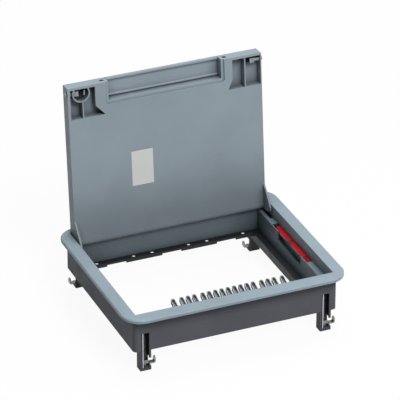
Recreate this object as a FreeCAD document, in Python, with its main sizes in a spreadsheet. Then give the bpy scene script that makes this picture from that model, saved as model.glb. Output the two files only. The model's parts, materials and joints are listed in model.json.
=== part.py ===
import FreeCAD, Part
import math
import os
import re
import Sketcher

# Floor socket box, millimetres. x = 0 and y = 0 are the middle of the frame, z = 0 is the
# finished floor, which the flange lies on. The lid group is drawn closed about its hinge
# axis and is then swung open by its placement.

doc = FreeCAD.newDocument("FloorBox")
sheet = doc.addObject("Spreadsheet::Sheet", "Sheet")

SIZES = {
    # trim frame
    "frame_width": 264, "frame_depth": 221, "flange_thick": 4, "corner_radius": 23,
    "flange_bevel": 1.2, "strip_side": 14.5, "strip_front": 15.5, "strip_back": 9.5, "shoulder": 1,
    "ledge_width": 8, "ledge_back": 8.5, "ledge_thick": 4, "liner_wall": 2, "liner_height": 21.7,
    # body shell and its legs
    "inset_side": 11, "inset_front": 11, "inset_back": 5.5, "shell_wall": 2, "shell_height": 41,
    "shell_radius": 5, "leg_width": 12.8, "leg_depth": 10.5, "leg_inset": 7.2, "leg_height": 66,
    "leg_floor": 3.1, "leg_left_wall": 1.5, "leg_right_wall": 1.2, "leg_inner_wall": 1,
    "leg_top": 4.7, "slot_width": 9.1, "claw_across": 7.3, "claw_deep": 6,
    # claws
    "screw_radius": 1.75, "screw_play": 0.05, "screw_head_radius": 2.5, "screw_head_height": 1.8,
    "driver_slot": 0.8, "claw_gap": 0.3, "nut_half": 3.2, "nut_length": 6, "nut_height": 4,
    "boss_radius": 2.5, "eye_play": 0.08, "rivet_radius": 3.1, "rivet_thick": 0.6,
    "claw_thick": 1.6, "claw_arm": 12.2, "claw_width": 5, "claw_rise": 7.5, "claw_bend": 2,
    "claw_taper": 2.5, "claw_seat": 5, "claw_climb": 8.1,
    "guide_side": 1.2, "guide_thick": 1.1, "guide_depth": 9, "guide_setback": 0.3,
    # support rails
    "rail_sheet": 1.5, "rail_shelf": 8, "rail_lip": 2.2, "tab_drop": 2, "tab_width": 44,
    "module": 22.5, "hole_radius": 2.25, "hole_inset": 3, "side_shelf": 8.5, "side_lip": 10,
    # finger pockets and release slides
    "pocket_deep": 5, "pocket_back": 35.5, "pocket_front": 26.5, "pocket_slope": 12,
    "pocket_drop": 11, "pocket_sag": 3, "pocket_wall": 1.5, "slide_length": 88, "slide_width": 6.4,
    "slide_strip": 4, "slide_base": 1.3, "slide_hump": 2.4, "slide_front": 41.5,
    "slide_travel": 6, "slide_play": 0.3, "channel_deep": 2.7, "slide_tail": 14, "slide_notch": 2.4,
    # cable comb
    "finger_width": 5, "finger_pitch": 7.5, "finger_group": 10, "finger_run": 18.5,
    "finger_rise": 7.6, "finger_thick": 2.6, "finger_rim": 1.1, "finger_skin": 1, "finger_nose": 1.3,
    "comb_depth": 3, "comb_height": 3, "comb_setback": 1.4,
    # lid
    "lid_thick": 14, "seat_gap": 0.3, "lid_gap": 1, "lid_gap_front": 0.9, "pivot_back": 8,
    "lid_open": 95, "lid_round": 0.6, "lid_rim": 3, "cover_deep": 2.5, "cover_shelf": 14,
    "cheek_thick": 2, "cheek_run": 26, "cheek_drop": 17.5, "cheek_slot": 0.5,
    "pin_radius": 2, "pin_play": 0.06, "pin_bore": 18, "pin_length": 15,
    # cord outlet and its flap
    "outlet_half": 67.8, "outlet_deep": 22.9, "lip_width": 3.5, "lip_step": 1.5, "lip_corner": 3,
    "flap_thick": 1.8, "flap_gap": 0.4, "flap_rim": 2, "flap_rim_deep": 5, "knuckle_radius": 1.8,
    "flap_pin_radius": 0.8, "flap_pin_length": 8, "flap_pin_play": 0.05,
    # latches
    "bay_deep": 10.4, "bay_edge": 3, "bay_long": 35, "bay_flare_long": 12,
    "bay_wall_left": 3, "bay_left": 29.5, "bay_flare_left": 11,
    "bay_wall_right": 1.2, "bay_right": 32.5, "bay_flare_right": 5.5,
    "latch_inset": 8.4, "latch_level": 2.5, "latch_radius": 2.4,
    "latch_play": 0.3, "latch_out": 2.2, "latch_in": 10.5, "latch_head": 3, "latch_head_half": 2.8,
    "spring_sheet": 0.4, "spring_span": 6, "seat_wall": 1.6, "guide_wall": 2,
    "ring_radius": 10.5, "ring_wall": 1.6, "ring_inset": 8.3, "ring_side": 16, "rib_side": 18.3,
    "rib_wall": 1.4,
    # plate, label and small holes
    "plate_thick": 1.5, "plate_gap": 0.4, "plate_screw_radius": 1.5, "plate_head_radius": 2.9,
    "plate_head_thick": 0.8, "plate_screw_edge": 9, "label_width": 26, "label_long": 42,
    "label_thick": 0.2, "label_side": 31.8, "label_inset": 110.5, "notch_side": 4.5, "notch_deep": 3,
}
for row, (alias, number) in enumerate(SIZES.items(), start=1):
    sheet.set("A%d" % row, alias)
    sheet.set("B%d" % row, str(number))
    sheet.setAlias("B%d" % row, alias)
doc.recompute()

WORD = re.compile(r"[a-z][a-z_]+")


def formula(text):
    """Turn 'frame_width / 2' into an expression on the sheet's cells."""
    return WORD.sub(lambda m: "Sheet." + m.group(0) if m.group(0) in SIZES else m.group(0), text)


def bind(item, field, text):
    item.setExpression(field, formula(text))


def size(alias):
    return float(sheet.get(alias))


# Places that several sub-parts share, as formulas.
HALF_X = "(frame_width / 2)"
HALF_Y = "(frame_depth / 2)"
OPEN_X = "(frame_width / 2 - strip_side)"
OPEN_FRONT = "(-frame_depth / 2 + strip_front)"
OPEN_BACK = "(frame_depth / 2 - strip_back)"
SHELL_X = "(frame_width / 2 - inset_side)"
SHELL_FRONT = "(-frame_depth / 2 + inset_front)"
SHELL_BACK = "(frame_depth / 2 - inset_back)"
LINER_X = "(frame_width / 2 - strip_side - ledge_width)"
LINER_FRONT = "(-frame_depth / 2 + strip_front + ledge_width)"
LINER_BACK = "(frame_depth / 2 - strip_back - ledge_back)"
LEDGE_TOP = "(flange_thick - lid_thick - seat_gap)"
LEDGE_UNDER = "(flange_thick - lid_thick - seat_gap - ledge_thick)"
LINER_UNDER = "(flange_thick - lid_thick - seat_gap - ledge_thick - liner_height)"
PIVOT_Y = "(frame_depth / 2 - strip_back - pivot_back)"
PIVOT_Z = "(flange_thick - lid_thick / 2)"
LID_X = "(frame_width / 2 - strip_side - lid_gap)"
LID_REACH = "(frame_depth - strip_back - pivot_back - strip_front - lid_gap_front)"
OUTLET_EDGE = "(%s - outlet_deep)" % LID_REACH
LATCH_REACH = "(%s - latch_inset)" % LID_REACH
SPRING_SEAT = "(%s - latch_in - latch_head - spring_span)" % LID_X


# ---------------------------------------------------------------- drawing helpers

def new_body(label):
    body = doc.addObject("PartDesign::Body", label)
    body.Label = label
    return body


def sketch_on(body, role, height="0"):
    """A sketch on one of the body's own origin planes, raised along the plane's normal."""
    plane = next(f for f in body.Origin.OriginFeatures if f.Role == role)
    sketch = body.newObject("Sketcher::SketchObject", body.Label + "_sketch")
    sketch.AttachmentSupport = [(plane, "")]
    sketch.MapMode = "FlatFace"
    bind(sketch, ".AttachmentOffset.Base.z", height)
    return sketch


def loop(sketch, corners):
    """A closed outline through corners, each one a pair of formulas."""
    first = sketch.GeometryCount
    count = len(corners)
    turn = 2 * math.pi / count
    spots = [FreeCAD.Vector(10 * math.cos(turn * i + 0.3), 10 * math.sin(turn * i + 0.3), 0)
             for i in range(count)]
    for i in range(count):
        sketch.addGeometry(Part.LineSegment(spots[i], spots[(i + 1) % count]), False)
    for i in range(count):
        after = first + (i + 1) % count
        sketch.addConstraint(Sketcher.Constraint("Coincident", first + i, 2, after, 1))
    for i, (across, along) in enumerate(corners):
        place(sketch, first + i, 1, spots[i], across, along)


def place(sketch, item, point, spot, across, along):
    """Tie one point of a sketch to two formulas."""
    for kind, start, text in (("DistanceX", spot.x, across), ("DistanceY", spot.y, along)):
        index = sketch.addConstraint(Sketcher.Constraint(kind, -1, 1, item, point, start))
        bind(sketch, "Constraints[%d]" % index, text)


def box_loop(sketch, low_x, high_x, low_y, high_y):
    loop(sketch, [(low_x, low_y), (high_x, low_y), (high_x, high_y), (low_x, high_y)])


def ring_loop(sketch, across, along, radius):
    """A circle whose centre and radius are formulas."""
    spot = FreeCAD.Vector(3, 4, 0)
    item = sketch.addGeometry(Part.Circle(spot, FreeCAD.Vector(0, 0, 1), 2), False)
    place(sketch, item, 3, spot, across, along)
    index = sketch.addConstraint(Sketcher.Constraint("Radius", item, 2))
    bind(sketch, "Constraints[%d]" % index, radius)


def pad(body, sketch, length):
    feature = body.newObject("PartDesign::Pad", body.Label + "_pad")
    feature.Profile = sketch
    bind(feature, "Length", length)
    sketch.Visibility = False
    doc.recompute()
    return feature


def cut(body, sketch, length):
    """A pocket going against the sketch's normal."""
    before = body.Shape.Volume
    feature = body.newObject("PartDesign::Pocket", body.Label + "_pocket")
    feature.Profile = sketch
    bind(feature, "Length", length)
    sketch.Visibility = False
    doc.recompute()
    if not body.Shape.Volume < before - 1e-3:
        raise RuntimeError("empty pocket in " + body.Label)
    return feature


def pad_box(body, low, high):
    """Pad a box between two corners, each one three formulas."""
    sketch = sketch_on(body, "XY_Plane", low[2])
    box_loop(sketch, low[0], high[0], low[1], high[1])
    return pad(body, sketch, "(%s) - (%s)" % (high[2], low[2]))


def cut_box(body, low, high):
    sketch = sketch_on(body, "XY_Plane", high[2])
    box_loop(sketch, low[0], high[0], low[1], high[1])
    return cut(body, sketch, "(%s) - (%s)" % (high[2], low[2]))


def cut_bore(body, role, height, across, along, radius, length):
    sketch = sketch_on(body, role, height)
    ring_loop(sketch, across, along, radius)
    return cut(body, sketch, length)


def edges_where(shape, test):
    return ["Edge%d" % (i + 1) for i, edge in enumerate(shape.Edges) if test(edge)]


def upright_at(edge, spots, slack=0.02):
    """True for a vertical edge that stands on one of the given plan points."""
    ends = [v.Point for v in edge.Vertexes]
    if len(ends) != 2 or abs(ends[0].x - ends[1].x) + abs(ends[0].y - ends[1].y) > slack:
        return False
    return any(abs(ends[0].x - x) < slack and abs(ends[0].y - y) < slack for x, y in spots)


def fillet(body, test, radius):
    tip = body.Tip
    names = edges_where(tip.Shape, test)
    if not names:
        raise RuntimeError("no edge to round in " + body.Label)
    feature = body.newObject("PartDesign::Fillet", body.Label + "_fillet")
    feature.Base = (tip, names)
    bind(feature, "Radius", radius)
    doc.recompute()
    return feature


def bevel(body, test, width):
    tip = body.Tip
    feature = body.newObject("PartDesign::Chamfer", body.Label + "_bevel")
    feature.Base = (tip, edges_where(tip.Shape, test))
    bind(feature, "Size", width)
    doc.recompute()
    return feature


def shell_corners(inside=None):
    """Plan points of the shell's corners, or of its wall's inner corners."""
    wall = size(inside) if inside else 0
    half_x, half_y = size("frame_width") / 2, size("frame_depth") / 2
    side = half_x - size("inset_side") - wall
    front, back = size("inset_front") + wall - half_y, half_y - size("inset_back") - wall
    return [(x, y) for x in (-side, side) for y in (front, back)]


def signed(sign, text):
    return text if sign > 0 else "-(%s)" % text


def span(sign, near, far):
    """Low and high formula of a stretch that is mirrored when sign is negative."""
    return (near, far) if sign > 0 else ("-(%s)" % far, "-(%s)" % near)


def hang_on_lid(item):
    """Swing a sub-part that is drawn closed about the hinge axis to the open lid."""
    item.Placement = FreeCAD.Placement(FreeCAD.Vector(0, 1, 1),
                                       FreeCAD.Rotation(FreeCAD.Vector(-1, 0, 0), 95))
    bind(item, ".Placement.Base.y", PIVOT_Y)
    bind(item, ".Placement.Base.z", PIVOT_Z)
    bind(item, ".Placement.Rotation.Angle", "lid_open * 1 deg")


def gather(label, tools, kind="Part::MultiFuse"):
    """One sub-part out of several primitives."""
    item = doc.addObject(kind, label)
    item.Label = label
    item.Shapes = tools
    return item


def block(name, low, high):
    item = doc.addObject("Part::Box", name)
    for side, field, a, b in zip("xyz", ("Length", "Width", "Height"), low, high):
        bind(item, field, "(%s) - (%s)" % (b, a))
        bind(item, ".Placement.Base." + side, a)
    return item


def rod(name, base, radius, length, axis="z"):
    item = doc.addObject("Part::Cylinder", name)
    turns = {"z": (FreeCAD.Vector(0, 0, 1), 0), "x": (FreeCAD.Vector(0, 1, 0), 90),
             "y": (FreeCAD.Vector(-1, 0, 0), 90)}
    item.Placement = FreeCAD.Placement(FreeCAD.Vector(), FreeCAD.Rotation(*turns[axis]))
    bind(item, "Radius", radius)
    bind(item, "Height", length)
    for side, text in zip("xyz", base):
        bind(item, ".Placement.Base." + side, text)
    return item


def less(name, base, tool):
    item = doc.addObject("Part::Cut", name)
    item.Base = base
    item.Tool = tool
    return item


# ---------------------------------------------------------------- trim frame

def trim_frame():
    body = new_body("trim_frame")
    flange = sketch_on(body, "XY_Plane", "0")
    box_loop(flange, "-" + HALF_X, HALF_X, "-" + HALF_Y, HALF_Y)
    box_loop(flange, "-" + OPEN_X, OPEN_X, OPEN_FRONT, OPEN_BACK)
    pad(body, flange, "flange_thick")
    half_x, half_y = size("frame_width") / 2, size("frame_depth") / 2
    corners = [(x, y) for x in (-half_x, half_x) for y in (-half_y, half_y)]
    fillet(body, lambda e: upright_at(e, corners), "corner_radius")
    top = size("flange_thick")
    rim_x, rim_y = half_x - size("strip_side") + 1, half_y - size("strip_back") + 1

    def outer_top(edge):
        box = edge.BoundBox
        middle = edge.CenterOfMass
        return box.ZMin > top - 0.01 and (abs(middle.x) > rim_x or abs(middle.y) > rim_y)

    bevel(body, outer_top, "flange_bevel")

    skirt = sketch_on(body, "XY_Plane", LEDGE_UNDER)
    box_loop(skirt, "-%s + shell_wall" % SHELL_X, "%s - shell_wall" % SHELL_X,
             "%s + shell_wall" % SHELL_FRONT, "%s - shell_wall" % SHELL_BACK)
    box_loop(skirt, "-" + OPEN_X, OPEN_X, OPEN_FRONT, OPEN_BACK)
    pad(body, skirt, "-" + LEDGE_UNDER)
    fillet(body, lambda e: upright_at(e, shell_corners("shell_wall")), "shell_radius - shell_wall")
    shoulder = sketch_on(body, "XY_Plane", "-shoulder")
    box_loop(shoulder, "-" + SHELL_X, SHELL_X, SHELL_FRONT, SHELL_BACK)
    box_loop(shoulder, "-" + OPEN_X, OPEN_X, OPEN_FRONT, OPEN_BACK)
    pad(body, shoulder, "shoulder")
    fillet(body, lambda e: upright_at(e, shell_corners()), "shell_radius")

    ledge = sketch_on(body, "XY_Plane", LEDGE_UNDER)
    box_loop(ledge, "-" + OPEN_X, OPEN_X, OPEN_FRONT, OPEN_BACK)
    box_loop(ledge, "-" + LINER_X, LINER_X, LINER_FRONT, LINER_BACK)
    pad(body, ledge, "ledge_thick")
    liner = sketch_on(body, "XY_Plane", LINER_UNDER)
    box_loop(liner, "-%s - liner_wall" % LINER_X, "%s + liner_wall" % LINER_X,
             "%s - liner_wall" % LINER_FRONT, "%s + liner_wall" % LINER_BACK)
    box_loop(liner, "-" + LINER_X, LINER_X, LINER_FRONT, LINER_BACK)
    pad(body, liner, "liner_height")

    for sign in (-1, 1):
        finger_pocket(body, sign)
        channel = span(sign, "%s - slide_width - 2 * slide_play" % OPEN_X, OPEN_X)
        cut_box(body, (channel[0], "-slide_front - slide_play", "%s - channel_deep" % LEDGE_TOP),
                (channel[1], "slide_length - slide_front + slide_travel + slide_play", LEDGE_TOP))
        slide_back = "slide_length - slide_front + slide_play"
        cut_box(body, (channel[0], slide_back, LEDGE_UNDER),
                (channel[1], slide_back + " + slide_travel", LEDGE_TOP))
        slot = span(sign, "%s - cheek_thick - cheek_slot" % LID_X, OPEN_X)
        cut_box(body, (slot[0], "%s - cheek_run - 2 * cheek_slot" % PIVOT_Y, LEDGE_UNDER),
                (slot[1], OPEN_BACK, LEDGE_TOP))
        reach = "%s + 1" % SHELL_X if sign > 0 else "-%s + 1" % LINER_X
        deep = "%s + 1 - %s" % (SHELL_X, LINER_X)
        cut_bore(body, "YZ_Plane", reach, PIVOT_Y, PIVOT_Z, "pin_radius", deep + " - 1")
        cut_bore(body, "YZ_Plane", reach, "%s - %s" % (PIVOT_Y, LATCH_REACH),
                 "%s - latch_level" % PIVOT_Z, "latch_radius + latch_play", deep)
    for x, y in claw_axes():
        cut_bore(body, "XY_Plane", LEDGE_TOP, x, y, "screw_head_radius + claw_gap", "ledge_thick")
    return body


def finger_pocket(body, sign):
    """The recess below a release slide: a housing behind the liner, then its hollow."""
    low = "%s - pocket_drop - pocket_sag - pocket_wall" % LEDGE_TOP
    ends = span(sign, LINER_X, "%s + pocket_deep + pocket_wall" % LINER_X)
    pad_box(body, (ends[0], "-pocket_front - pocket_wall", low),
            (ends[1], "pocket_back + pocket_wall", LEDGE_UNDER))
    sketch = sketch_on(body, "YZ_Plane",
                       "%s + pocket_deep" % LINER_X if sign > 0 else "-%s" % LINER_X)
    side, deep = "%s - pocket_drop" % LEDGE_TOP, "%s - pocket_drop - pocket_sag" % LEDGE_TOP
    loop(sketch, [("pocket_back", LEDGE_TOP), ("-pocket_front", LEDGE_TOP), ("-pocket_front", side),
                  ("-pocket_front + pocket_slope", deep), ("pocket_back - pocket_slope", deep),
                  ("pocket_back", side)])
    cut(body, sketch, "pocket_deep")


# ---------------------------------------------------------------- body shell and legs

def leg_frames():
    """Each leg as a name and its two mappings: across its face and in from its face."""
    far = "(%s - leg_inset)" % SHELL_X
    for name, end in (("front_left", "-" + far), ("front_right", "(%s - leg_width)" % far)):
        yield name, 1, (lambda p, end=end: "(%s + (%s))" % (end, p)), \
            (lambda q: "(%s + (%s))" % (SHELL_FRONT, q))
    for name, end in (("back_right", "-" + far), ("back_left", "(%s - leg_width)" % far)):
        yield name, -1, (lambda p, end=end: "(-(%s + (%s)))" % (end, p)), \
            (lambda q: "(%s - (%s))" % (SHELL_BACK, q))


def claw_axes():
    return [(across("claw_across"), inward("claw_deep")) for _, _, across, inward in leg_frames()]


def ordered(sign, near, far):
    return (near, far) if sign > 0 else (far, near)


def leg_box(leg, p, q, z):
    """Two corners of a box given in one leg's own directions."""
    _, sign, across, inward = leg
    xs = ordered(sign, across(p[0]), across(p[1]))
    ys = ordered(sign, inward(q[0]), inward(q[1]))
    return (xs[0], ys[0], z[0]), (xs[1], ys[1], z[1])


def body_shell():
    body = new_body("body_shell")
    ring = sketch_on(body, "XY_Plane", "-shell_height")
    box_loop(ring, "-" + SHELL_X, SHELL_X, SHELL_FRONT, SHELL_BACK)
    pad(body, ring, "shell_height - shoulder")
    fillet(body, lambda e: upright_at(e, shell_corners()), "shell_radius")
    hollow = sketch_on(body, "XY_Plane", "-shoulder")
    box_loop(hollow, "-%s + shell_wall" % SHELL_X, "%s - shell_wall" % SHELL_X,
             "%s + shell_wall" % SHELL_FRONT, "%s - shell_wall" % SHELL_BACK)
    cut(body, hollow, "shell_height - shoulder")
    fillet(body, lambda e: upright_at(e, shell_corners("shell_wall")), "shell_radius - shell_wall")
    floor = "-leg_height + leg_floor"
    roof = "%s - leg_top" % LEDGE_UNDER
    for leg in leg_frames():
        pad_box(body, *leg_box(leg, ("0", "leg_width"), ("0", "leg_depth"),
                               ("-leg_height", LEDGE_UNDER)))
    for leg in leg_frames():
        room_p = ("leg_left_wall", "leg_width - leg_right_wall")
        room_q = ("shell_wall", "leg_depth - leg_inner_wall")
        cut_box(body, *leg_box(leg, room_p, room_q, (floor, roof)))
        slot_p = ("leg_left_wall", "leg_left_wall + slot_width")
        cut_box(body, *leg_box(leg, slot_p, ("0", "shell_wall"), (floor, roof)))
        window_z = ("%s - claw_gap" % ARM_UNDER, "%s + claw_climb + claw_gap" % ARM_TOP)
        cut_box(body, *leg_box(leg, ("leg_left_wall", "leg_width"), ("0", room_q[1]), window_z))
        _, _, across, inward = leg
        x, y = across("claw_across"), inward("claw_deep")
        cut_bore(body, "XY_Plane", LEDGE_UNDER, x, y, "screw_radius + screw_play", "leg_top")
        cut_bore(body, "XY_Plane", floor, x, y, "screw_radius + screw_play", "leg_floor")
    return body


def claw_guides():
    """Four steel strips that line the legs' slots."""
    strips = []
    for leg in leg_frames():
        near = "leg_left_wall + guide_side"
        low, high = leg_box(leg, (near, near + " + guide_thick"),
                            ("guide_setback", "guide_setback + guide_depth"),
                            ("-leg_height + leg_floor", "%s - leg_top" % LEDGE_UNDER))
        strips.append(block("guide_" + leg[0], low, high))
    return compound("claw_guides", strips)


def compound(label, parts):
    item = doc.addObject("Part::Compound", label)
    item.Label = label
    item.Links = parts
    return item


# ---------------------------------------------------------------- claws

ARM_UNDER = "(-leg_height + claw_seat)"
ARM_TOP = "(-leg_height + claw_seat + claw_thick)"
NUT_UNDER = "(-leg_height + claw_seat + claw_thick + claw_gap)"


def claw_hook(leg):
    """Sheet steel arm with an eye for the nut and a tapered end bent up."""
    name, sign, across, inward = leg
    body = new_body("claw_hook_" + name)
    x, y = across("claw_across"), inward("claw_deep")
    eye = sketch_on(body, "XY_Plane", ARM_UNDER)
    ring_loop(eye, x, y, "nut_half")
    pad(body, eye, "claw_thick")
    low, high = ordered(sign, x, across("claw_across + claw_arm"))
    pad_box(body, (low, "%s - claw_width / 2" % y, ARM_UNDER),
            (high, "%s + claw_width / 2" % y, ARM_TOP))
    inner = ordered(sign, across("claw_across + claw_arm - claw_thick"),
                    across("claw_across + claw_arm"))[0]
    end = sketch_on(body, "YZ_Plane", inner)
    top = "%s + claw_rise" % ARM_UNDER
    loop(end, [("%s - claw_width / 2" % y, ARM_UNDER), ("%s + claw_width / 2" % y, ARM_UNDER),
               ("%s + claw_width / 2" % y, top + " - claw_taper"), ("%s + claw_width / 4" % y, top),
               ("%s - claw_width / 4" % y, top), ("%s - claw_width / 2" % y, top + " - claw_taper")])
    pad(body, end, "claw_thick")
    under = size("claw_seat") - size("leg_height")

    def outer_bend(edge):
        box = edge.BoundBox
        far = box.XMin if sign > 0 else -box.XMax
        reach = max(corner.X * sign for corner in body.Tip.Shape.Vertexes)
        return box.ZMax < under + 0.01 and box.XLength < 0.01 and far > reach - 0.01

    fillet(body, outer_bend, "claw_bend")
    cut_bore(body, "XY_Plane", ARM_TOP, x, y, "boss_radius + eye_play", "claw_thick")
    return body


def claw_nut(leg):
    """Square nut with a riveted boss below it that carries the hook."""
    name, sign, across, inward = leg
    x, y = across("claw_across"), inward("claw_deep")
    square = block("nut_square_" + name,
                   ("%s - nut_half" % x, "%s - nut_length / 2" % y, NUT_UNDER),
                   ("%s + nut_half" % x, "%s + nut_length / 2" % y, NUT_UNDER + " + nut_height"))
    foot = (x, y, "%s - claw_gap - rivet_thick" % ARM_UNDER)
    boss = rod("nut_boss_" + name, foot, "boss_radius", "claw_thick + 2 * claw_gap + rivet_thick")
    rivet = rod("nut_rivet_" + name, foot, "rivet_radius", "rivet_thick")
    solid = gather("nut_solid_" + name, [square, boss, rivet])
    bore = rod("nut_bore_" + name, (x, y, "%s - 1" % ARM_UNDER), "screw_radius + screw_play",
               "nut_height + claw_thick + claw_gap + 2")
    item = less("claw_nut_" + name, solid, bore)
    item.Label = "claw_nut_" + name
    return item


def claw_screw(leg):
    """Slotted screw, turned about the leg's axis."""
    name, sign, across, inward = leg
    body = new_body("claw_screw_" + name)
    bind(body, ".Placement.Base.x", across("claw_across"))
    bind(body, ".Placement.Base.y", inward("claw_deep"))
    head = "%s + claw_gap" % LEDGE_UNDER
    sketch = sketch_on(body, "XZ_Plane", "0")
    end = "-leg_height + claw_gap"
    loop(sketch, [("0", end), ("screw_radius", end), ("screw_radius", head),
                  ("screw_head_radius", head), ("screw_head_radius", head + " + screw_head_height"),
                  ("0", head + " + screw_head_height")])
    turned = body.newObject("PartDesign::Revolution", body.Label + "_turned")
    turned.Profile = sketch
    turned.ReferenceAxis = (sketch, ["V_Axis"])
    turned.Angle = 360
    sketch.Visibility = False
    doc.recompute()
    top = "%s + screw_head_height" % head
    cut_box(body, ("-screw_head_radius", "-driver_slot / 2", top + " - screw_head_height / 2"),
            ("screw_head_radius", "driver_slot / 2", top))
    return body


# ---------------------------------------------------------------- support rails

def cross_rail(label, sign):
    """Steel angle across the box, with a castellated lip and fixing holes."""
    body = new_body(label)
    liner = LINER_BACK if sign > 0 else "(-%s)" % LINER_FRONT
    half = "(%s - side_shelf)" % LINER_X
    inner, outer = "(%s - rail_shelf)" % liner, "(%s + liner_wall)" % liner
    low, high = span(sign, inner, outer)
    pad_box(body, ("-" + half, low, LINER_UNDER + " - rail_sheet"), (half, high, LINER_UNDER))
    lip = sketch_on(body, "XZ_Plane", "-(%s)" % inner if sign > 0 else inner)
    top, base = LINER_UNDER, "%s - rail_lip" % LINER_UNDER
    low_tab = base + " - tab_drop"
    sides = (("-4.5", "+"), ("-1.5", "-"), ("-1.5", "+"), ("1.5", "-"), ("1.5", "+"), ("4.5", "-"))
    outline = [("-" + half, top), ("-" + half, low_tab)]
    for step, (middle, side) in enumerate(sides):
        x = "%s * module %s tab_width / 2" % (middle, side)
        outline += [(x, base), (x, low_tab)] if step % 2 else [(x, low_tab), (x, base)]
    outline += [(half, low_tab), (half, top)]
    loop(lip, outline)
    feature = pad(body, lip, "rail_sheet")
    if sign > 0:
        feature.Reversed = True
        doc.recompute()
    row = "%s - hole_inset" % liner
    for place_x in (-4, -2, -1, 1, 2, 4):
        cut_bore(body, "XY_Plane", LINER_UNDER, "%d * module" % place_x,
                 row if sign > 0 else "-(%s)" % row, "hole_radius", "rail_sheet")
    return body


def side_rail(label, sign):
    """Steel angle along one side, behind the ends of the cross rails."""
    body = new_body(label)
    inner, outer = "(%s - side_shelf)" % LINER_X, "(%s + liner_wall)" % LINER_X
    front, back = "(%s - liner_wall)" % LINER_FRONT, "(%s + liner_wall)" % LINER_BACK
    low, high = span(sign, inner, outer)
    pad_box(body, (low, front, LINER_UNDER + " - rail_sheet"), (high, back, LINER_UNDER))
    low, high = span(sign, inner, "(%s + rail_sheet)" % inner)
    pad_box(body, (low, front, LINER_UNDER + " - side_lip"), (high, back, LINER_UNDER))
    return body


# ---------------------------------------------------------------- release slides, comb

def release_slide(label, sign):
    """Flat slide with two finger pads that bulge inward, a notch between them and a thin tail."""
    body = new_body(label)
    bottom = "(%s - channel_deep)" % LEDGE_TOP
    outer = "(%s - slide_play)" % OPEN_X
    ends = span(sign, "(%s - slide_strip)" % outer, outer)
    front, back = "(-slide_front)", "(slide_length - slide_front)"
    pad_box(body, (ends[0], front, bottom), (ends[1], back, bottom + " + slide_base"))
    start = "(%s + slide_tail)" % front
    lobe = "((slide_length - slide_tail - slide_notch) / 2)"
    bulge = ((0, 0.1), (0.12, 0.6), (0.35, 0.95), (0.65, 1), (0.9, 0.6), (1, 0.1))
    for first in (start, "(%s + %s + slide_notch)" % (start, lobe)):
        pads = sketch_on(body, "XY_Plane", bottom)
        inner = [("%s - slide_strip - (slide_width - slide_strip) * %s" % (outer, wide),
                  "%s + %s * %s" % (first, lobe, far)) for far, wide in bulge]
        corners = [(outer, "%s + %s" % (first, lobe)), (outer, first)] + inner
        loop(pads, [(signed(sign, x), y) for x, y in corners])
        pad(body, pads, "slide_hump")
    return body


def finger_places():
    """Middles of the comb's fingers: nine, then three and one on each side."""
    places = ["%d * finger_pitch" % i for i in range(-4, 5)]
    for sign in ("-", ""):
        edge = "%s(4 * finger_pitch + finger_group" % sign
        places += ["%s + %d * finger_pitch)" % (edge, i) for i in range(3)]
        places.append("%s + 2 * finger_pitch + finger_group)" % edge)
    return places


def cable_comb():
    """A strip on the front ledge with 17 springy fingers, each a trough with a blunt nose."""
    body = new_body("cable_comb")
    front = "(%s + comb_setback)" % OPEN_FRONT
    half = "(4 * finger_pitch + 2 * finger_group + 2 * finger_pitch + finger_width / 2)"
    pad_box(body, ("-" + half, front, LEDGE_TOP),
            (half, front + " + comb_depth", LEDGE_TOP + " + comb_height"))
    root, tip = front + " + comb_depth / 2", front + " + comb_depth / 2 + finger_run"
    low, high = LEDGE_TOP, LEDGE_TOP + " + finger_rise"
    for middle in finger_places():
        finger = sketch_on(body, "YZ_Plane", "%s - finger_width / 2" % middle)
        loop(finger, [(root, low), (tip, high), (tip + " + finger_nose", high + " + finger_thick / 2"),
                      (tip, high + " + finger_thick"), (root, low + " + finger_thick")])
        pad(body, finger, "finger_width")
    for middle in finger_places():
        trough = sketch_on(body, "YZ_Plane", "%s + finger_width / 2 - finger_rim" % middle)
        rise = "finger_rise / finger_run"
        near, far = "3 * finger_rim", "finger_run - 2 * finger_rim"
        loop(trough, [("%s + %s" % (root, y), "%s + (%s) * %s + %s" % (low, y, rise, z))
                      for y, z in ((near, "finger_skin"), (far, "finger_skin"),
                                   (far, "2 * finger_thick"), (near, "2 * finger_thick"))])
        cut(body, trough, "finger_width - 2 * finger_rim")
    return body


# ---------------------------------------------------------------- lid, drawn closed

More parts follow.
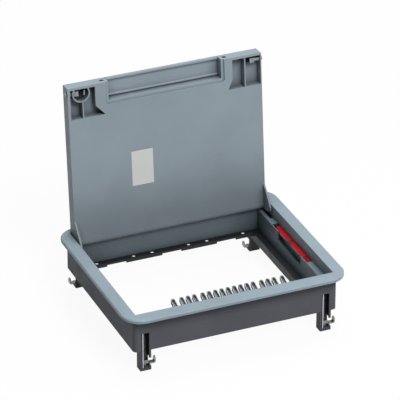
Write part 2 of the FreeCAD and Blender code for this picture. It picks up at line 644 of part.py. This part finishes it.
def lid_tray():
    body = new_body("lid_tray")
    top, under = "(lid_thick / 2)", "(-lid_thick / 2)"
    edge = "(-%s)" % LID_REACH
    pad_box(body, ("-" + LID_X, edge, under), (LID_X, "0", top))
    side = size("frame_width") / 2 - size("strip_side") - size("lid_gap")
    reach = size("frame_depth") - size("strip_back") - size("pivot_back") \
        - size("strip_front") - size("lid_gap_front")
    fillet(body, lambda e: upright_at(e, [(-side, -reach), (side, -reach)]), "lid_round")
    barrel = sketch_on(body, "YZ_Plane", "-" + LID_X)
    ring_loop(barrel, "0", "0", "lid_thick / 2")
    pad(body, barrel, "2 * " + LID_X)

    # floor covering recess on the outer side, running round the cord outlet
    rim = "(%s - lid_rim)" % LID_X
    near = "(-outlet_half - lip_width - lid_rim)"
    cover = sketch_on(body, "XY_Plane", top)
    shelf = "(-%s + lid_rim)" % OUTLET_EDGE
    loop(cover, [("-" + rim, "-cover_shelf"), ("-" + rim, edge + " + lid_rim"),
                 (near, edge + " + lid_rim"), (near, shelf), ("-" + near, shelf),
                 ("-" + near, edge + " + lid_rim"), (rim, edge + " + lid_rim"), (rim, "-cover_shelf")])
    cut(body, cover, "cover_deep")

    # cord outlet: a stepped lip on the underside round an opening in the free edge
    cut_box(body, ("-outlet_half - lip_width", edge, under),
            ("outlet_half + lip_width", "-%s + lip_width" % OUTLET_EDGE, under + " + lip_step"))
    lip_x, lip_y = size("outlet_half") + size("lip_width"), size("outlet_deep") + size("lip_width")
    fillet(body, lambda e: upright_at(e, [(-lip_x, lip_y - reach), (lip_x, lip_y - reach)]),
           "lip_corner")
    cut_box(body, ("-outlet_half", edge, under), ("outlet_half", "-" + OUTLET_EDGE, top))
    for sign in (-1, 1):
        latch_bay(body, sign)
        cheek(body, sign)
        bore = "%s + 1" % LID_X if sign > 0 else "-%s + pin_bore" % LID_X
        cut_bore(body, "YZ_Plane", bore, "0", "0", "pin_radius + pin_play", "pin_bore + 1")
        start = "outlet_half + flap_pin_length / 2" if sign > 0 else "-outlet_half + 1"
        cut_bore(body, "YZ_Plane", start, FLAP_Y, FLAP_Z, "flap_pin_radius",
                 "flap_pin_length / 2 + 1")
        low, high = span(sign, "outlet_half + lip_width", "outlet_half + lip_width + notch_side")
        cut_box(body, (low, edge, "-notch_side / 2"), (high, edge + " + notch_deep", "notch_side / 2"))
    return body


def latch_bay(body, sign):
    """Hollow in the underside for one latch, with its rib, pin guide and, left, a ring."""
    side = "left" if sign < 0 else "right"
    under, floor = "(-lid_thick / 2)", "(-lid_thick / 2 + bay_deep)"
    outer = "(%s - bay_wall_%s)" % (LID_X, side)
    inner = "(%s - bay_edge - bay_%s)" % (LID_X, side)
    edge = "(-%s + bay_edge)" % LID_REACH
    back = "(%s + bay_long)" % edge
    sketch = sketch_on(body, "XY_Plane", floor)
    outline = [(outer, edge), (inner, edge), (inner, back + " - bay_flare_long"),
               ("%s - bay_flare_%s" % (inner, side), back), (outer, back)]
    loop(sketch, [(signed(sign, x), y) for x, y in outline])
    cut(body, sketch, "bay_deep")
    latch_y = ("-%s - latch_head_half" % LATCH_REACH, "-%s + latch_head_half" % LATCH_REACH)
    latch_low = "-latch_level - latch_head_half"
    if sign < 0:
        seat = span(sign, SPRING_SEAT + " - seat_wall", SPRING_SEAT)
        pad_box(body, (seat[0], latch_y[0], latch_low), (seat[1], latch_y[1], floor))
        ring = sketch_on(body, "XY_Plane", under)
        for radius in ("ring_radius", "ring_radius - ring_wall"):
            ring_loop(ring, "-(%s - ring_side)" % LID_X, "ring_inset - %s" % LID_REACH, radius)
        pad(body, ring, "bay_deep")
        cut_box(body, ("-" + LID_X, "-%s - ring_radius" % LID_REACH, under),
                ("-%s + 2 * ring_side" % LID_X, "-" + LID_REACH, floor))
        rib = span(sign, "%s - rib_side" % LID_X, "%s - rib_side + rib_wall" % LID_X)
        rib_start = "ring_inset + ring_radius - ring_wall / 2 - %s" % LID_REACH
    else:
        rib = span(sign, SPRING_SEAT + " - rib_wall", SPRING_SEAT)
        rib_start = edge
    pad_box(body, (rib[0], rib_start, under), (rib[1], back, floor))
    head_stop = "%s - latch_in + latch_play" % LID_X
    guide = span(sign, head_stop, head_stop + " + guide_wall")
    pad_box(body, (guide[0], latch_y[0], latch_low), (guide[1], latch_y[1], floor))
    start = "%s + 1" % LID_X if sign > 0 else "-%s + latch_in + latch_play" % LID_X
    cut_bore(body, "YZ_Plane", start, "-" + LATCH_REACH, "-latch_level", "latch_radius + screw_play",
             "latch_in + latch_play + 1")


def cheek(body, sign):
    """Side plate below the hinge end; it covers the gap beside the open lid."""
    start = "%s - cheek_thick" % LID_X if sign > 0 else "-" + LID_X
    sketch = sketch_on(body, "YZ_Plane", start)
    under = "-lid_thick / 2"
    low = under + " - cheek_drop"
    loop(sketch, [("-cheek_run", under + " + 1"), ("-cheek_run", under),
                  ("-cheek_run * 0.72", under + " - cheek_drop * 0.34"),
                  ("-cheek_run * 0.4", under + " - cheek_drop * 0.7"),
                  ("-cheek_run * 0.08", low), ("cheek_run * 0.06", low),
                  ("cheek_run * 0.2", under + " - cheek_drop * 0.55"), ("cheek_run * 0.22", "0"),
                  ("0", "0")])
    pad(body, sketch, "cheek_thick")


FLAP_Y = "(-%s - flap_gap - knuckle_radius)" % OUTLET_EDGE
FLAP_Z = "(lid_thick / 2 - knuckle_radius)"


def outlet_flap():
    """Thin flap over the cord outlet, hinged at its inner edge."""
    body = new_body("outlet_flap")
    half = "(outlet_half - flap_gap)"
    edge = "(-%s)" % LID_REACH
    top = "(lid_thick / 2)"
    pad_box(body, ("-" + half, edge, top + " - flap_thick"), (half, FLAP_Y, top))
    pad_box(body, ("-" + half, edge, top + " - flap_rim_deep"), (half, edge + " + flap_rim", top))
    knuckle = sketch_on(body, "YZ_Plane", "-" + half)
    ring_loop(knuckle, FLAP_Y, FLAP_Z, "knuckle_radius")
    pad(body, knuckle, "2 * " + half)
    for sign in (-1, 1):
        start = half + " + 1" if sign > 0 else "-%s + flap_pin_length / 2" % half
        cut_bore(body, "YZ_Plane", start, FLAP_Y, FLAP_Z, "flap_pin_radius + flap_pin_play",
                 "flap_pin_length / 2 + 1")
    return body


def lid_small_parts():
    """Steel plate with its screws, the label, flap pins: all hung on the lid."""
    top, edge = "(lid_thick / 2)", "(-%s)" % LID_REACH
    bed = "(lid_thick / 2 - cover_deep)"
    plate = new_body("lid_plate")
    rim = "(%s - lid_rim - plate_gap)" % LID_X
    near = "(-outlet_half - lip_width - lid_rim - plate_gap)"
    shelf = "(-%s + lid_rim + plate_gap)" % OUTLET_EDGE
    sheet_sketch = sketch_on(plate, "XY_Plane", bed)
    front, back = edge + " + lid_rim + plate_gap", "-cover_shelf - plate_gap"
    loop(sheet_sketch, [("-" + rim, back), ("-" + rim, front), (near, front), (near, shelf),
                        ("-" + near, shelf), ("-" + near, front), (rim, front), (rim, back)])
    pad(plate, sheet_sketch, "plate_thick")
    screws = []
    spots = [(sign, y) for sign in ("", "-") for y in
             ("%s + lid_rim + plate_screw_edge" % edge, "-cover_shelf - plate_screw_edge")]
    for number, (sign, y) in enumerate(spots):
        x = "%s(%s - plate_screw_edge)" % (sign, rim)
        cut_bore(plate, "XY_Plane", bed + " + plate_thick", x, y, "plate_screw_radius", "plate_thick")
        shank = rod("plate_shank_%d" % number, (x, y, bed), "plate_screw_radius", "plate_thick")
        head = rod("plate_head_%d" % number, (x, y, bed + " + plate_thick"),
                   "plate_head_radius", "plate_head_thick")
        screws.append(gather("plate_screw_%d" % number, [shank, head]))
    screw_set = compound("lid_plate_screws", screws)
    label = new_body("lid_label")
    middle = "label_inset - " + LID_REACH
    pad_box(label, ("-label_side - label_width / 2", middle + " - label_long / 2",
                    "-lid_thick / 2 - label_thick"),
            ("-label_side + label_width / 2", middle + " + label_long / 2", "-lid_thick / 2"))
    starts = ("-outlet_half - flap_pin_length / 2", "outlet_half - flap_pin_length / 2")
    pins = [rod("flap_pin_%d" % i, (start, FLAP_Y, FLAP_Z), "flap_pin_radius", "flap_pin_length",
                "x") for i, start in enumerate(starts)]
    pin_set = compound("flap_pins", pins)
    for item in (plate, screw_set, label, pin_set):
        hang_on_lid(item)
    return [plate, screw_set, label, pin_set]


def latch_pin(label, sign):
    """Round bolt with a square head that the spring pushes on."""
    body = new_body(label)
    start = "-%s - latch_out" % LID_X if sign < 0 else "%s - latch_in" % LID_X
    bolt = sketch_on(body, "YZ_Plane", start)
    ring_loop(bolt, "-" + LATCH_REACH, "-latch_level", "latch_radius")
    pad(body, bolt, "latch_in + latch_out")
    low, high = span(sign, "%s - latch_in - latch_head" % LID_X, "%s - latch_in" % LID_X)
    pad_box(body, (low, "-%s - latch_head_half" % LATCH_REACH, "-latch_level - latch_head_half"),
            (high, "-%s + latch_head_half" % LATCH_REACH, "-latch_level + latch_head_half"))
    hang_on_lid(body)
    return body


def latch_spring(label, sign):
    """Bent leaf spring between the latch head and its seat."""
    body = new_body(label)
    sketch = sketch_on(body, "XY_Plane", "-latch_level - latch_head_half / 2")
    wave = ((-0.9, 0), (-0.5, 1), (0, 0.35), (0.5, 1), (0.9, 0))
    near = [("%s + spring_span * %s" % (SPRING_SEAT, bend) if bend else SPRING_SEAT,
             "-%s + latch_head_half * %s" % (LATCH_REACH, step)) for step, bend in wave]
    far = [(x + (" - spring_sheet" if bend == 1 else " + spring_sheet"), y)
           for (x, y), (_, bend) in zip(near, wave)]
    loop(sketch, [(signed(sign, x), y) for x, y in near + far[::-1]])
    pad(body, sketch, "latch_head_half")
    hang_on_lid(body)
    return body


def hinge_pin(label, sign):
    start = "-%s" % SHELL_X if sign < 0 else "%s - pin_length" % SHELL_X
    item = rod("pin_" + label, (start, PIVOT_Y, PIVOT_Z), "pin_radius", "pin_length", "x")
    item.Label = label
    return item


# ---------------------------------------------------------------- build and write

def build():
    nodes = [trim_frame(), body_shell(), claw_guides(),
             cross_rail("support_rail_front", -1), cross_rail("support_rail_back", 1),
             side_rail("side_rail_left", -1), side_rail("side_rail_right", 1),
             cable_comb(), release_slide("release_slide_left", -1),
             release_slide("release_slide_right", 1)]
    for leg in leg_frames():
        nodes += [claw_hook(leg), claw_nut(leg), claw_screw(leg)]
    tray, flap = lid_tray(), outlet_flap()
    for item in (tray, flap):
        hang_on_lid(item)
    nodes += [tray, flap] + lid_small_parts()
    for sign, side in ((-1, "left"), (1, "right")):
        nodes += [latch_pin("latch_pin_" + side, sign), latch_spring("latch_spring_" + side, sign),
                  hinge_pin("hinge_pin_" + side, sign)]
    return nodes


nodes = build()
doc.recompute()
for item in doc.Objects:
    if "Invalid" in item.State or "Error" in item.State:
        raise RuntimeError("%s: %s" % (item.Label, item.State))
os.makedirs("parts", exist_ok=True)
for node in nodes:
    if node.Shape.isNull() or not node.Shape.isValid():
        raise RuntimeError("bad shape: " + node.Label)
    node.Shape.exportStep("parts/%s.step" % node.Label)
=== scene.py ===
import bmesh
import bpy
import json
import math
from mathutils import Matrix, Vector

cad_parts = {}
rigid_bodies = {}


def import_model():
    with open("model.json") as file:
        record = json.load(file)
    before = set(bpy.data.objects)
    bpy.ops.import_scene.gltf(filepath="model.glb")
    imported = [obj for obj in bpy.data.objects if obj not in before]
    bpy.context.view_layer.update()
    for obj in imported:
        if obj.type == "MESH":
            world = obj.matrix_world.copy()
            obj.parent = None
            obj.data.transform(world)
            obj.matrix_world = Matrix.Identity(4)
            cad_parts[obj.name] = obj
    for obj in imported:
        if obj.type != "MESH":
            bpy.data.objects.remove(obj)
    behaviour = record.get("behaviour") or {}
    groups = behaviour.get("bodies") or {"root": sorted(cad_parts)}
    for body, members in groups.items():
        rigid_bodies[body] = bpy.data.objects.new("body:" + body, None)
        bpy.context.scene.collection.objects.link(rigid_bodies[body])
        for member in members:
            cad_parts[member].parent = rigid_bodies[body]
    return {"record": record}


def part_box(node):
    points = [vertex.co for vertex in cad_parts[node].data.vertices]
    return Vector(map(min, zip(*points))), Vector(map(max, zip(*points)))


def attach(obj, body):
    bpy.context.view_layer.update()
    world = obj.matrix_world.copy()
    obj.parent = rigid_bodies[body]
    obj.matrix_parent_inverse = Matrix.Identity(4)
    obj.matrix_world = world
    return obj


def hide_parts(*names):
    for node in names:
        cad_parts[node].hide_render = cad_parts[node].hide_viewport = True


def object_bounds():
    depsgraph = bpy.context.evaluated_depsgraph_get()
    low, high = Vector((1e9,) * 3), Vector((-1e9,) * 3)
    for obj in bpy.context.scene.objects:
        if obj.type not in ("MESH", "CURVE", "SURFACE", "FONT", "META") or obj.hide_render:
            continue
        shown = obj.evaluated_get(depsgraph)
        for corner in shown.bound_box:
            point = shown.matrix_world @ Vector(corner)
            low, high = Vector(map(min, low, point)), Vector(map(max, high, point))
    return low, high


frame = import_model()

cad_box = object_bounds()

# Where the photographer stood, turned about a point near the frame's middle: degrees and metres,
# with the lens and its sensor in millimetres.
MIDDLE = Vector((0.0, -0.0035, 0.004))
AZIMUTH = -23.0
ELEVATION = 28.97
DISTANCE = 3.799
AIM_RIGHT = -0.0026
AIM_UP = 0.0610
LENS = 307.7
SENSOR = 36.0

# Lamps: place, the point they face, width in metres and power in watts.
KEY_LAMP = (0.15, -1.9, 2.3), (0, 0, 0), 1.1, 52.0
TOP_LAMP = (0.25, 0.5, 2.6), (0, 0, 0.05), 1.4, 23.0
# How strongly the room lights the object from its left and from its right, and how far round
# to the left the light has fallen to its least.
LEFT_LIGHT = 0.08
RIGHT_LIGHT = 0.80
LEFT_TURN = -0.6
# How much of the floor the camera sees as plain white: the rest is paper that shows the shadow.
FLOOR_WHITE = 0.93
PAPER_GREY = 0.9
# The floor's grey for the light that it throws back on the object.
FLOOR_GREY = 0.32
FLOOR_REACH = 6.0

# Painted shade, not light: a piece's colour darkens over a band of height, from its top in metres
# to its foot, where this share of the colour is left. Written as foot, top and share.
LID_FADE = (0.0, 0.085, 0.62)
FRAME_FADE = (-0.014, -0.006, 0.46)
# A face whose normal points this much to the back at rest is outside the fade.
OUTSIDE = 0.5
# Steel sub-parts that differ from the zinc-plated ones.
OWN_FINISH = {"latch_spring_left": "dark_steel", "latch_spring_right": "dark_steel",
              "claw_guides": "bright_steel"}
THREAD_PITCH = 0.0006
# A wave texture at scale 1 repeats its bands this often along a metre.
WAVES_PER_METRE = 10 / math.pi

# The comb in metres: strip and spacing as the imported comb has, and its fingers' own form.
COMB_BODY = "base"
COMB_STRIP = 0.003
FINGER_PITCH = 0.0075
FINGER_GROUP = 0.0100
FINGER_TIP = 0.0025
FINGER_ROOT = 0.0033
FINGER_RIM = 0.0009
FINGER_SKIN = 0.0008
ROOT_DEEP = 0.0026
TIP_DEEP = 0.0042
RIM_ROUND = 0.0003
TIP_STEPS = 12


# ---------------------------------------------------------------- node helpers

def new_material(name):
    """A node material, its node tree and its shader."""
    material = bpy.data.materials.new(name)
    material.use_nodes = True
    tree = material.node_tree
    shader = tree.nodes["Principled BSDF"]
    return material, tree, shader


def fill(tree, socket, value):
    """Link another node's output to an input, or set the input to a value."""
    if isinstance(value, bpy.types.NodeSocket):
        tree.links.new(value, socket)
    else:
        socket.default_value = value


def node(tree, kind, **inputs):
    """Add a node and fill its inputs by name."""
    item = tree.nodes.new(kind)
    for name, value in inputs.items():
        fill(tree, item.inputs[name.replace("_", " ")], value)
    return item


def worked_out(tree, operation, first, second):
    """The output of a maths node with two inputs."""
    item = tree.nodes.new("ShaderNodeMath")
    item.operation = operation
    fill(tree, item.inputs[0], first)
    fill(tree, item.inputs[1], second)
    return item.outputs[0]


def object_noise(tree, scale, detail=3.0, stretch=(1, 1, 1)):
    """Noise in the object's own metres, so its grain keeps its size."""
    place = tree.nodes.new("ShaderNodeTexCoord").outputs["Object"]
    mapping = node(tree, "ShaderNodeMapping", Vector=place, Scale=stretch)
    grain = node(tree, "ShaderNodeTexNoise", Vector=mapping.outputs["Vector"], Scale=scale,
                 Detail=detail)
    return grain.outputs["Fac"]


def ramp(tree, fac, dark, light, low=0.3, high=0.7):
    """A colour ramp between two grey or colour values."""
    item = tree.nodes.new("ShaderNodeValToRGB")
    tree.links.new(fac, item.inputs["Fac"])
    item.color_ramp.elements[0].position = low
    item.color_ramp.elements[1].position = high
    item.color_ramp.elements[0].color = (*dark, 1)
    item.color_ramp.elements[1].color = (*light, 1)
    return item.outputs["Color"]


def grey(value):
    """A neutral colour."""
    return (value, value, value)


def shade(colour, factor):
    """A colour made darker or lighter by a factor."""
    return tuple(min(1.0, part * factor) for part in colour)


def mixed(tree, factor, first, second, blend="MIX"):
    """Two colours blended by a factor."""
    mix = tree.nodes.new("ShaderNodeMix")
    mix.data_type = "RGBA"
    mix.blend_type = blend
    fill(tree, mix.inputs["Factor"], factor)
    fill(tree, mix.inputs["A"], first)
    fill(tree, mix.inputs["B"], second)
    return mix.outputs["Result"]


def painted_hollow_shade(tree, colour, reach, depth):
    """Painted shade: darken a colour in hollows, where shadow falls."""
    hollow = node(tree, "ShaderNodeAmbientOcclusion", Distance=reach)
    hollow.samples = 8
    veil = ramp(tree, hollow.outputs["AO"], grey(depth), grey(1.0), 0.15, 0.85)
    return mixed(tree, 1.0, colour, veil, "MULTIPLY")


def painted_height_shade(tree, colour, low, high, dark):
    """Painted shade: darken a colour towards the foot of a band, but not where it faces the back at
    rest.
    """
    place = tree.nodes.new("ShaderNodeTexCoord")
    height = node(tree, "ShaderNodeSeparateXYZ", Vector=place.outputs["Object"]).outputs["Z"]
    facing = node(tree, "ShaderNodeSeparateXYZ", Vector=place.outputs["Normal"]).outputs["Y"]
    rise = node(tree, "ShaderNodeMapRange", Value=height, From_Min=low, From_Max=high,
                To_Min=dark)
    rise.interpolation_type = "SMOOTHSTEP"
    outside = worked_out(tree, "GREATER_THAN", facing, OUTSIDE)
    kept = worked_out(tree, "MAXIMUM", rise.outputs["Result"], outside)
    return mixed(tree, 1.0, colour, kept, "MULTIPLY")


def soft_edges(tree, shader, height, distance, radius=0.0004):
    """Bump on top of a normal that rounds the sharp edges."""
    edge = node(tree, "ShaderNodeBevel", Radius=radius)
    edge.samples = 6
    bump = node(tree, "ShaderNodeBump", Height=height, Distance=distance, Strength=0.6,
                Normal=edge.outputs["Normal"])
    tree.links.new(bump.outputs["Normal"], shader.inputs["Normal"])


def moulded(name, colour, rough=0.45, grain=0.00004, spread=0.06, reach=0.02, depth=0.35,
            fade=None, shine=0.35):
    """Moulded plastic: a faint mottle, a fine grain and a gloss that varies a little, with painted
    shade in its hollows and, where a fade is given, painted shade towards the foot of that band.
    """
    material, tree, shader = new_material(name)
    cloud = ramp(tree, object_noise(tree, 22.0), shade(colour, 1 - spread),
                 shade(colour, 1 + spread))
    # Painted shade: the mottle darkens towards the foot of the fade band.
    if fade:
        cloud = painted_height_shade(tree, cloud, *fade)
    # Painted shade in hollows darkens the colour.
    tree.links.new(painted_hollow_shade(tree, cloud, reach, depth), shader.inputs["Base Color"])
    gloss = ramp(tree, object_noise(tree, 60.0), grey(rough - 0.06), grey(rough + 0.06))
    tree.links.new(gloss, shader.inputs["Roughness"])
    soft_edges(tree, shader, object_noise(tree, 1600.0, 2.0), grain)
    shader.inputs["Specular IOR Level"].default_value = shine
    return material


def plated(name, colour, rough=0.3, stretch=(1, 1, 14)):
    """Plated or blued steel with a drawn grain, slight tarnish and painted shade in its hollows."""
    material, tree, shader = new_material(name)
    cloud = ramp(tree, object_noise(tree, 90.0, 4.0), shade(colour, 0.82), shade(colour, 1.08))
    # Painted shade in hollows darkens the steel's colour.
    tree.links.new(painted_hollow_shade(tree, cloud, 0.008, 0.3), shader.inputs["Base Color"])
    gloss = ramp(tree, object_noise(tree, 900.0, 2.0, stretch), grey(rough - 0.08),
                 grey(rough + 0.12))
    tree.links.new(gloss, shader.inputs["Roughness"])
    soft_edges(tree, shader, object_noise(tree, 1200.0, 2.0, stretch), 0.00003, 0.00025)
    shader.inputs["Metallic"].default_value = 1.0
    return material


def threaded(name, colour):
    """Blackened screw whose thread shows as painted highlight and painted shade in bands along the
    shank, one to a turn.
    """
    material, tree, shader = new_material(name)
    place = tree.nodes.new("ShaderNodeTexCoord").outputs["Object"]
    turns = node(tree, "ShaderNodeTexWave", Vector=place, Scale=1 / WAVES_PER_METRE / THREAD_PITCH)
    turns.bands_direction = "Z"
    tree.links.new(ramp(tree, turns.outputs["Fac"], shade(colour, 0.3), shade(colour, 1.8)),
                   shader.inputs["Base Color"])
    gloss = ramp(tree, object_noise(tree, 300.0), grey(0.28), grey(0.45))
    tree.links.new(gloss, shader.inputs["Roughness"])
    bump = node(tree, "ShaderNodeBump", Height=turns.outputs["Fac"], Distance=0.0003,
                Strength=0.8)
    tree.links.new(bump.outputs["Normal"], shader.inputs["Normal"])
    shader.inputs["Metallic"].default_value = 0.8
    return material


# reach and depth set how far into hollows the painted shade goes and how dark it gets; fade is
# painted shade by height.
MATERIALS = {
    "frame": moulded("frame_plastic", (0.30, 0.38, 0.43), 0.45, reach=0.05, depth=0.25,
                     fade=FRAME_FADE, shine=0.15),
    "shell": moulded("shell_plastic", (0.111, 0.117, 0.136), 0.55, shine=0.12),
    "rail": moulded("rail_coat", (0.014, 0.016, 0.018), 0.5),
    "lid": moulded("lid_plastic", (0.310, 0.373, 0.422), 0.5, reach=0.016, depth=0.2,
                   fade=LID_FADE),
    "red": moulded("red_plastic", (0.47, 0.009, 0.018), 0.3, reach=0.003),
    "comb": moulded("comb_rubber", (0.38, 0.42, 0.44), 0.5, reach=0.008, depth=0.03),
    "steel": plated("zinc_steel", (0.30, 0.30, 0.30)),
    "dark_steel": plated("blued_steel", (0.10, 0.11, 0.13), 0.35),
    "bright_steel": plated("bright_steel", (0.60, 0.63, 0.67), 0.4),
    "plate": plated("galvanised_sheet", (0.60, 0.62, 0.64), 0.38, (1, 1, 1)),
    "pin": moulded("pin_plastic", (0.34, 0.38, 0.42), 0.4, reach=0.03, depth=0.06),
    "screw": threaded("black_screw", (0.03, 0.03, 0.034)),
    "label": moulded("blank_label", (0.73, 0.74, 0.72), 0.35, 0.00001, 0.02),
}


def dress_nodes():
    """Give every carried-over sub-part its own finish, or else its record slot's."""
    for entry in frame["record"]["subparts"]:
        piece = bpy.data.objects[entry["node"]]
        finish = OWN_FINISH.get(entry["node"], entry["material_slot"])
        piece.data.materials.clear()
        piece.data.materials.append(MATERIALS[finish])


# ---------------------------------------------------------------- the cable comb

def finger_places():
    """Middles of the comb's fingers: nine, then three and one on each side."""
    places = [i * FINGER_PITCH for i in range(-4, 5)]
    for side in (-1, 1):
        edge = 4 * FINGER_PITCH + FINGER_GROUP
        places += [side * (edge + i * FINGER_PITCH) for i in range(3)]
        places.append(side * (edge + 2 * FINGER_PITCH + FINGER_GROUP))
    return places


def finger_outline(length, start, inset):
    """A finger seen from above: sides that draw in from the root and a round tip."""
    radius = FINGER_TIP - inset
    straight = length - FINGER_TIP
    root = FINGER_ROOT - inset - (FINGER_ROOT - FINGER_TIP) * start / straight
    angles = [math.pi * i / TIP_STEPS for i in range(TIP_STEPS + 1)]
    arc = [(radius * math.cos(a), straight + radius * math.sin(a)) for a in angles]
    return [(root, start)] + arc + [(-root, start)]


def add_finger(mesh, middle, low, high):
    """One springy finger: a sloping trough, deeper at its tip, with a rounded rim."""
    length = high.y - low.y - COMB_STRIP / 2
    slope = (high.z - low.z - ROOT_DEEP) / (length - FINGER_TIP / 2)

    def flush(y):
        return 0.0

    def under(y):
        return ROOT_DEEP + (TIP_DEEP - ROOT_DEEP) * y / length

    def trough(y):
        return under(y) - FINGER_SKIN

    def ring(outline, drop):
        """One closed row of corners below the finger's top, inside the comb's own box."""
        row = []
        for x, y in outline:
            across = min(max(middle + x, low.x), high.x)
            top = min(high.z, low.z + ROOT_DEEP + slope * y)
            row.append(mesh.verts.new((across, low.y + COMB_STRIP / 2 + y, top - drop(y))))
        return row

    outer = finger_outline(length, 0.0, 0.0)
    inner = finger_outline(length, 3 * FINGER_RIM, FINGER_RIM)
    rings = [ring(outer, under), ring(outer, flush), ring(inner, flush), ring(inner, trough)]
    count = len(outer)
    for near, far in zip(rings, rings[1:]):
        for i in range(count):
            j = (i + 1) % count
            mesh.faces.new((near[i], near[j], far[j], far[i]))
    mesh.faces.new(rings[0][::-1])
    mesh.faces.new(rings[-1])


def add_comb():
    """The comb's strip and its fingers, in place of the plainer packed ones."""
    low, high = (Vector(corner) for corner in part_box("cable_comb"))
    mesh = bmesh.new()
    for middle in finger_places():
        add_finger(mesh, middle, low, high)
    strip = bmesh.ops.create_cube(mesh, size=1.0)["verts"]
    size = Vector((high.x - low.x, COMB_STRIP, COMB_STRIP))
    bmesh.ops.scale(mesh, vec=size, verts=strip)
    bmesh.ops.translate(mesh, vec=low + size / 2, verts=strip)
    bmesh.ops.recalc_face_normals(mesh, faces=mesh.faces)
    data = bpy.data.meshes.new("comb_fingers")
    mesh.to_mesh(data)
    mesh.free()
    comb = bpy.data.objects.new("comb_fingers", data)
    bpy.context.scene.collection.objects.link(comb)
    data.materials.append(MATERIALS["comb"])
    rim = comb.modifiers.new("rounded_rim", "BEVEL")
    rim.width = RIM_ROUND
    rim.segments = 2
    rim.limit_method = "ANGLE"
    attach(comb, COMB_BODY)
    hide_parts("cable_comb")


# ---------------------------------------------------------------- stage, light and camera

def seen_rays(tree):
    """1 for rays from the camera and for those that a mirror or glass sends on."""
    path = tree.nodes.new("ShaderNodeLightPath")
    total = path.outputs["Is Camera Ray"]
    for kind in ("Is Glossy Ray", "Is Transmission Ray"):
        total = worked_out(tree, "MAXIMUM", total, path.outputs[kind])
    return total


def white_floor():
    """Paper that looks white, keeps a faint shadow and lights the object as mid grey."""
    material, tree, shader = new_material("floor_paper")
    mottle = ramp(tree, object_noise(tree, 3.0), grey(FLOOR_GREY - 0.01), grey(FLOOR_GREY + 0.01))
    paper = mixed(tree, seen_rays(tree), mottle, (*grey(PAPER_GREY), 1))
    tree.links.new(paper, shader.inputs["Base Color"])
    shader.inputs["Roughness"].default_value = 0.9
    glow = node(tree, "ShaderNodeEmission", Strength=1.0)
    mix = tree.nodes.new("ShaderNodeMixShader")
    share = worked_out(tree, "MULTIPLY", seen_rays(tree), FLOOR_WHITE)
    tree.links.new(share, mix.inputs["Fac"])
    tree.links.new(shader.outputs["BSDF"], mix.inputs[1])
    tree.links.new(glow.outputs["Emission"], mix.inputs[2])
    tree.links.new(mix.outputs["Shader"], tree.nodes["Material Output"].inputs["Surface"])
    return material


def add_floor():
    """A wide sheet under the legs' feet, outside the object."""
    foot = cad_box[0][2]
    signs = ((-1, -1), (1, -1), (1, 1), (-1, 1))
    corners = [(x * FLOOR_REACH, y * FLOOR_REACH, foot) for x, y in signs]
    mesh = bpy.data.meshes.new("floor")
    mesh.from_pydata(corners, [], [(0, 1, 2, 3)])
    floor = bpy.data.objects.new("floor", mesh)
    bpy.context.scene.collection.objects.link(floor)
    mesh.materials.append(white_floor())


def add_lamp(name, place, aim, width, power):
    """A soft square lamp at a place, facing a point."""
    data = bpy.data.lights.new(name, "AREA")
    data.size = width
    data.energy = power
    lamp = bpy.data.objects.new(name, data)
    lamp.location = place
    lamp.rotation_euler = (Vector(aim) - Vector(place)).to_track_quat("-Z", "Y").to_euler()
    bpy.context.scene.collection.objects.link(lamp)


def add_world():
    """A room that is white to look at and lights the object more from its right."""
    world = bpy.data.worlds.new("studio")
    world.use_nodes = True
    bpy.context.scene.world = world
    tree = world.node_tree
    ground = tree.nodes["Background"]
    ground.inputs["Color"].default_value = (1, 1, 1, 1)
    direction = tree.nodes.new("ShaderNodeTexCoord").outputs["Generated"]
    split = node(tree, "ShaderNodeSeparateXYZ", Vector=direction)
    sides = node(tree, "ShaderNodeMapRange", Value=split.outputs["X"], From_Min=LEFT_TURN,
                 To_Min=LEFT_LIGHT, To_Max=RIGHT_LIGHT)
    tree.links.new(sides.outputs["Result"], ground.inputs["Strength"])
    white = node(tree, "ShaderNodeBackground", Strength=1.0)
    mix = tree.nodes.new("ShaderNodeMixShader")
    tree.links.new(seen_rays(tree), mix.inputs["Fac"])
    tree.links.new(ground.outputs["Background"], mix.inputs[1])
    tree.links.new(white.outputs["Background"], mix.inputs[2])
    tree.links.new(mix.outputs["Shader"], tree.nodes["World Output"].inputs["Surface"])


def add_camera():
    """A long lens, as far off as the photographer's."""
    turn, rise = math.radians(AZIMUTH), math.radians(ELEVATION)
    level = math.cos(rise)
    back = Vector((math.sin(turn) * level, -math.cos(turn) * level, math.sin(rise)))
    right = Vector((math.cos(turn), math.sin(turn), 0.0))
    up = back.cross(right)
    data = bpy.data.cameras.new("camera")
    data.lens = LENS
    data.sensor_width = SENSOR
    data.clip_end = 50.0
    camera = bpy.data.objects.new("camera", data)
    camera.location = MIDDLE + AIM_RIGHT * right + AIM_UP * up + DISTANCE * back
    camera.rotation_euler = back.to_track_quat("Z", "Y").to_euler()
    bpy.context.scene.collection.objects.link(camera)
    bpy.context.scene.camera = camera


dress_nodes()
add_comb()
add_floor()
add_world()
add_lamp("key_lamp", *KEY_LAMP)
add_lamp("top_lamp", *TOP_LAMP)
add_camera()
bpy.context.scene.view_settings.view_transform = "Standard"
